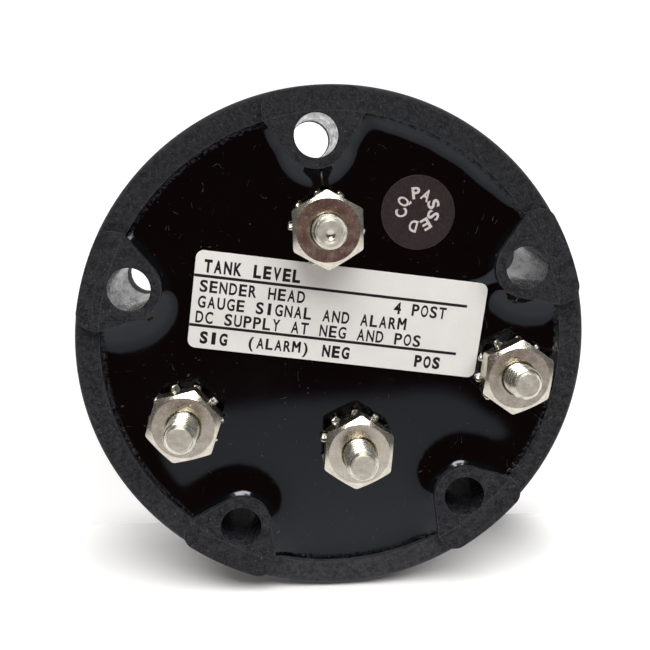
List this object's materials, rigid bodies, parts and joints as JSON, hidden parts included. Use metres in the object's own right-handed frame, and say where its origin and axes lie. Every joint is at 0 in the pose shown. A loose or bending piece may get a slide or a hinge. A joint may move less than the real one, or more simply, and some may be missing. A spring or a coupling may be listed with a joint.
{
  "type": "tank level sender head",
  "caption": "Round flanged head of a tank level sender: a potted electronics cup in a ring of screw bosses, with threaded stud terminals on top and a probe socket below.",
  "frame": {"origin": "centre of the hub's end face, the lowest plane of the head, on the axis of the flange", "axes": "+Z along the flange's axis, out of the terminal side and away from the tank; +X and +Y in the flange's plane, with +Y up as the label is read"},
  "size_m": [0.0662, 0.0662, 0.0308],
  "materials": {
    "moulded_black": "moulded, fine grain",
    "gasket_rubber": "matt sheet",
    "potting_epoxy": "poured, glossy",
    "board_laminate": "solder resist",
    "stud_steel": "rolled thread, plated",
    "plated_steel": "bright plated",
    "label_face": "satin label stock",
    "sticker_face": "satin vinyl",
    "bushing_aluminium": "turned",
    "insulator_white": "turned",
    "pin_brass": "turned",
    "pin_tin": "tinned wire",
    "can_aluminium": "drawn can",
    "film_red": "dipped",
    "trimmer_blue": "moulded",
    "resistor_tan": "lacquered",
    "package_black": "moulded"
  },
  "bodies": {
    "head": {"head_housing": "moulded_black", "flange_gasket": "gasket_rubber", "potting_compound": "potting_epoxy", "circuit_board": "board_laminate", "stud_signal": "stud_steel", "stud_alarm": "stud_steel", "stud_negative": "stud_steel", "stud_positive": "stud_steel", "board_nut_signal": "plated_steel", "board_nut_alarm": "plated_steel", "board_nut_negative": "plated_steel", "board_nut_positive": "plated_steel", "rating_label": "label_face", "inspection_sticker": "sticker_face", "probe_bushing": "bushing_aluminium", "electrode_insulator": "insulator_white", "electrode_pin": "pin_brass", "ground_pin": "pin_tin", "sensing_chip": "package_black", "voltage_regulator": "package_black", "alarm_transistor": "package_black", "smoothing_capacitor": "can_aluminium", "timing_capacitor": "film_red", "calibration_trimmer": "trimmer_blue", "reverse_diode": "package_black", "span_resistor": "resistor_tan", "pull_up_resistor": "resistor_tan"},
    "washer_signal": {"washer_signal": "plated_steel"},
    "nut_signal": {"nut_signal": "plated_steel"},
    "washer_alarm": {"washer_alarm": "plated_steel"},
    "nut_alarm": {"nut_alarm": "plated_steel"},
    "washer_negative": {"washer_negative": "plated_steel"},
    "nut_negative": {"nut_negative": "plated_steel"},
    "washer_positive": {"washer_positive": "plated_steel"},
    "nut_positive": {"nut_positive": "plated_steel"}
  },
  "joints": [
    {"name": "signal_washer_lift", "type": "slide", "parent": "head", "child": "washer_signal", "axis": [0, 0, 1], "range_m": [0, 0.00556]},
    {"name": "signal_nut_turn", "type": "hinge", "parent": "washer_signal", "child": "nut_signal", "pos_m": [-0.01931, -0.0095, 0.0243], "axis": [0, 0, 1], "range_deg": [0, 2520]},
    {"name": "alarm_washer_lift", "type": "slide", "parent": "head", "child": "washer_alarm", "axis": [0, 0, 1], "range_m": [0, 0.00556]},
    {"name": "alarm_nut_turn", "type": "hinge", "parent": "washer_alarm", "child": "nut_alarm", "pos_m": [-0.0009, 0.01537, 0.0243], "axis": [0, 0, 1], "range_deg": [0, 2520]},
    {"name": "negative_washer_lift", "type": "slide", "parent": "head", "child": "washer_negative", "axis": [0, 0, 1], "range_m": [0, 0.00556]},
    {"name": "negative_nut_turn", "type": "hinge", "parent": "washer_negative", "child": "nut_negative", "pos_m": [0.00316, -0.01342, 0.0243], "axis": [0, 0, 1], "range_deg": [0, 2520]},
    {"name": "positive_washer_lift", "type": "slide", "parent": "head", "child": "washer_positive", "axis": [0, 0, 1], "range_m": [0, 0.00556]},
    {"name": "positive_nut_turn", "type": "hinge", "parent": "washer_positive", "child": "nut_positive", "pos_m": [0.02376, -0.00368, 0.0243], "axis": [0, 0, 1], "range_deg": [0, 2520]}
  ],
  "couplings": [
    {"joint": "signal_nut_turn", "follows": "signal_washer_lift", "rad_per_m": 7915.8},
    {"joint": "alarm_nut_turn", "follows": "alarm_washer_lift", "rad_per_m": 7915.8},
    {"joint": "negative_nut_turn", "follows": "negative_washer_lift", "rad_per_m": 7915.8},
    {"joint": "positive_nut_turn", "follows": "positive_washer_lift", "rad_per_m": 7915.8}
  ]
}
